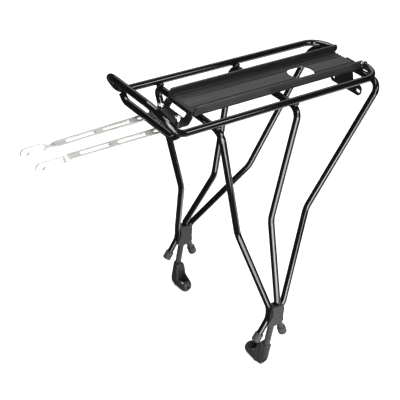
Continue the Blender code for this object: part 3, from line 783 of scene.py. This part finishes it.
def stay_ring(x, y, z, roll, low, high):
    """A rectangular section with small rounded corners, across from low to high."""
    turn = Matrix.Rotation(roll, 3, "X")
    up = STAY_T / 2
    corners = [(low, -up), (high, -up), (high, up), (low, up)]
    outline = rounded_polygon(corners, [STAY_EDGE] * 4, 30)
    return [Vector((x, y, z)) + turn @ Vector((0, across, rise)) for across, rise in outline]


def build_stay(side, sign):
    """A flat slotted strap whose front end is twisted a quarter turn into an upright tab."""
    name = sided("stay", side)
    clamp = Vector(joint(sided("stay_swing", side))["pos_m"])
    way = Vector(joint(sided("stay_reach", side))["axis"]).normalized()
    across = Z_AXIS.cross(way).normalized()
    up = way.cross(across)
    place = Matrix.Translation(clamp) @ Matrix((way, across, up)).transposed().to_4x4()
    half = STAY_W / 2
    rings = []
    for x, inset in ((0, 3.0), (0.4, 1.55), (0.9, 0.9), (1.6, 0.3), (3.0, 0)):
        rings.append(stay_ring(STAY_BACK + x * MM, 0, 0, 0, -half + inset * MM, half - inset * MM))
    rings.append(stay_ring(TWIST_START - 6 * MM, 0, 0, 0, -half, half))
    count = 28
    for index in range(count + 1):
        part = index / count
        smooth = part * part * (3 - 2 * part)
        neck = 1 - 0.34 * math.sin(math.pi * part) ** 2
        x = TWIST_START + (TWIST_END - TWIST_START) * part
        rings.append(stay_ring(x, sign * STAY_OFFSET * smooth, -STAY_DROP * smooth,
                               -sign * smooth * math.pi / 2, -half * neck, half * neck))
    tip = (sign * STAY_OFFSET, -STAY_DROP, -sign * math.pi / 2)
    for x, inset in ((4.2, 0), (3.2, 0.5), (0.5, 3.2), (0, 3.9)):
        rings.append(stay_ring(STAY_END - x * MM, *tip, -half + inset * MM, half - inset * MM))
    stay = loft(f"{name}_strap", rings, 30)
    stay.data.transform(place)
    cuts = []
    for index, (x, length) in enumerate(SLOTS):
        cuts.append(prism(f"{name}_slot_{index}", stadium(x, 0, length, SLOT_W, 18), 4 * STAY_T, place))
    hole = place @ Matrix.Translation((STAY_HOLE, sign * STAY_OFFSET, -STAY_DROP))
    cuts.append(cylinder(f"{name}_hole", BOLT_HOLE_R, 20 * MM, hole @ Matrix.Rotation(math.pi / 2, 4, "X")))
    combined(stay, cuts, "DIFFERENCE", 30)
    bevelled(stay, 0.22 * MM, 2, 50)
    dressed(stay, STEEL, "silver_strap", sided("stay_body", side), name)


SHOULDER_R = 3.4 * MM


def build_bolt(side):
    """A domed socket-head bolt with a rolled thread on its lower half."""
    name = sided("stay_bolt", side)
    low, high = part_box(name)
    place = Matrix.Translation(((low.x + high.x) / 2, (low.y + high.y) / 2, 0))
    head_r = (high.x - low.x) / 2
    head_low = high.z - 4.0 * MM
    shank = 2.8 * MM
    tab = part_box("front_bracket")[0].z + SHEET_T
    profile = [(0, high.z), (2.6 * MM, high.z)]
    profile += [(head_r - 1.7 * MM + x, y) for x, y in arc(0, high.z - 1.7 * MM, 1.7 * MM, 80, 0, 8)]
    profile += [(head_r, head_low + 0.3 * MM), (head_r - 0.3 * MM, head_low)]
    profile += [(SHOULDER_R, head_low), (SHOULDER_R, tab + 0.2 * MM), (shank, tab + 0.1 * MM)]
    pitch = 1.0 * MM
    z = tab
    while z > low.z + 1.2 * MM:
        profile += [(shank, z), (shank - 0.42 * MM, z - pitch * 0.45), (shank, z - pitch * 0.9)]
        z -= pitch
    profile += [(shank, low.z + 0.6 * MM), (shank - 0.6 * MM, low.z), (0, low.z)]
    bolt = lathe(f"{name}_threaded", profile, place, 48, 30)
    socket = [(3.0 * MM * math.cos(math.pi * k / 3), 3.0 * MM * math.sin(math.pi * k / 3)) for k in range(6)]
    mouth = prism("socket", socket, 5 * MM, place @ Matrix.Translation((0, 0, high.z)))
    combined(bolt, [mouth], "DIFFERENCE", 30)
    dressed(bolt, CHROME, "chrome_fastener", sided("clamp", side), name)


def build_washer(side):
    name = sided("stay_washer", side)
    low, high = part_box(name)
    place = Matrix.Translation(((low.x + high.x) / 2, (low.y + high.y) / 2, 0))
    outer, bore, soft = (high.x - low.x) / 2, BOLT_HOLE_R, 0.25 * MM
    profile = [(bore, high.z - soft), (bore + soft, high.z), (outer - soft, high.z), (outer, high.z - soft),
               (outer, low.z + soft), (outer - soft, low.z), (bore + soft, low.z), (bore, low.z + soft)]
    washer = lathe(f"{name}_ring", profile, place, 56, 50)
    dressed(washer, CHROME, "chrome_fastener", sided("clamp", side), name)


def build_nut(side):
    """A hexagon nut with its corners turned down and a countersunk bore."""
    name = sided("stay_nut", side)
    low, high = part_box(name)
    place = Matrix.Translation(((low.x + high.x) / 2, (low.y + high.y) / 2, 0))
    corner = (high.x - low.x) / 2
    hexagon = [(corner * math.cos(math.pi * k / 3), corner * math.sin(math.pi * k / 3)) for k in range(6)]
    middle = place @ Matrix.Translation((0, 0, (low.z + high.z) / 2))
    nut = prism(f"{name}_hexagon", hexagon, high.z - low.z, middle)
    flat = corner * 0.9
    turned = [(0, high.z), (flat, high.z), (corner + 0.1 * MM, high.z - 0.75 * MM),
              (corner + 0.1 * MM, low.z + 0.75 * MM), (flat, low.z), (0, low.z)]
    combined(nut, [lathe("nut_chamfer", turned, place, 64)], "INTERSECT")
    bore = BOLT_HOLE_R
    sink = [(0, high.z + 1 * MM), (bore + 1.5 * MM, high.z + 1 * MM), (bore, high.z - 0.5 * MM),
            (bore, low.z + 0.5 * MM), (bore + 1.5 * MM, low.z - 1 * MM), (0, low.z - 1 * MM)]
    combined(nut, [lathe("nut_bore", sink, place, 40)], "DIFFERENCE")
    dressed(nut, CHROME, "chrome_fastener", sided("clamp", side), name)


def build_stays():
    for side, sign in SIDES.items():
        build_stay(side, sign)
        build_bolt(side)
        build_washer(side)
        build_nut(side)


# ---- light plate --------------------------------------------------------------------------
def build_light_bracket():
    plate = cad_copy("light_bracket_sheet", "light_bracket")
    bevelled(plate, 0.35 * MM, 3, 40)
    dressed(plate, SHEET, "black_steel_sheet", "rack", "light_bracket")


# ---- floor, light and camera --------------------------------------------------------------
def build_floor():
    size = 12.0
    level = CAD_BOUNDS[0][2] - 0.2 * MM
    bm = bmesh.new()
    bmesh.ops.create_grid(bm, x_segments=8, y_segments=8, size=size)
    bmesh.ops.translate(bm, vec=(0, 0, level), verts=bm.verts)
    floor = piece("studio_floor", bm)
    finish = Finish("studio_floor_look", specular=0.0)
    finish.colour(finish.noise(3), (0.90, 0.90, 0.90), (0.93, 0.93, 0.93))
    finish.shader.inputs["Roughness"].default_value = 1.0
    finish.shader.inputs["Emission Color"].default_value = (1, 1, 1, 1)
    finish.shader.inputs["Emission Strength"].default_value = 0.4
    floor.data.materials.append(finish.material)
    floor.visible_glossy = False
    floor.visible_shadow = False


def softbox(name, place, target, width, height, power):
    """An unseen rectangular light at place, facing target; its power is in watts."""
    data = bpy.data.lights.new(name, "AREA")
    data.shape = "RECTANGLE"
    data.size = width
    data.size_y = height
    data.energy = power
    lamp = bpy.data.objects.new(name, data)
    lamp.matrix_world = along(Vector(place), Vector(place) - Vector(target))
    lamp.visible_camera = False
    bpy.context.scene.collection.objects.link(lamp)
    return lamp


def build_world(camera_white=1.0, ambient=0.6, reflected=0.045):
    """White to the camera, even light on the surfaces, and a dim room in the reflections."""
    world = bpy.data.worlds.new("studio")
    world.use_nodes = True
    nodes, links = world.node_tree.nodes, world.node_tree.links
    background = nodes["Background"]
    path = nodes.new("ShaderNodeLightPath")
    glossy = nodes.new("ShaderNodeMix")
    glossy.inputs["A"].default_value = ambient
    glossy.inputs["B"].default_value = reflected
    links.new(path.outputs["Is Glossy Ray"], glossy.inputs["Factor"])
    seen = nodes.new("ShaderNodeMix")
    seen.inputs["B"].default_value = camera_white
    links.new(path.outputs["Is Camera Ray"], seen.inputs["Factor"])
    links.new(glossy.outputs["Result"], seen.inputs["A"])
    background.inputs["Color"].default_value = (1, 1, 1, 1)
    links.new(seen.outputs["Result"], background.inputs["Strength"])
    bpy.context.scene.world = world


CAMERA_AZIMUTH = math.radians(50.1049)      # from +X toward +Y
CAMERA_ELEVATION = math.radians(33.9413)
CAMERA_ROLL = math.radians(5.7061)
CAMERA_DISTANCE = 1.3187
CAMERA_TARGET = Vector((0.061, 0, 0.2478))
CAMERA_LENS = 82.15


def build_camera():
    flat = math.cos(CAMERA_ELEVATION)
    back = Vector((math.cos(CAMERA_AZIMUTH) * flat, math.sin(CAMERA_AZIMUTH) * flat,
                   math.sin(CAMERA_ELEVATION)))
    right = Vector((-math.sin(CAMERA_AZIMUTH), math.cos(CAMERA_AZIMUTH), 0))
    up = back.cross(right)
    rolled_right = right * math.cos(CAMERA_ROLL) + up * math.sin(CAMERA_ROLL)
    rolled_up = up * math.cos(CAMERA_ROLL) - right * math.sin(CAMERA_ROLL)
    data = bpy.data.cameras.new("camera")
    data.lens = CAMERA_LENS
    data.clip_start = 0.01
    camera = bpy.data.objects.new("camera", data)
    camera.matrix_world = Matrix((rolled_right, rolled_up, back)).transposed().to_4x4()
    camera.matrix_world.translation = CAMERA_TARGET + back * CAMERA_DISTANCE
    bpy.context.scene.collection.objects.link(camera)
    bpy.context.scene.camera = camera


def build_studio():
    build_floor()
    build_world()
    centre = (CAMERA_TARGET.x - 0.06, 0, 0.3)
    softbox("overhead_box", (0.1, -0.3, 1.9), centre, 1.2, 1.2, 20)
    softbox("back_box", (-1.15, -1.35, 1.6), centre, 1.8, 0.9, 5.0)
    softbox("low_card", (-0.88, 0.24, -0.8), centre, 1.2, 1.2, 5.5)
    softbox("rail_strip", (-0.55, 1.0, 1.1), (0.1, 0, 0.43), 0.5, 0.35, 3.6)
    softbox("leg_strip", (0.15, 1.0, 0.66), centre, 0.2, 1.0, 6.5)
    softbox("knee_strip", (-0.33, 1.0, 0.2), centre, 0.12, 0.3, 0.8)
    softbox("bend_card", (0.22, 0.52, 0.2), (0.18, 0.06, 0.44), 0.5, 0.5, 5)
    bpy.context.scene.view_settings.view_transform = "Standard"


build_tubes()
build_welds()
build_lower_ends()
build_deck()
build_front_bracket()
build_stays()
build_light_bracket()
build_studio()
build_camera()
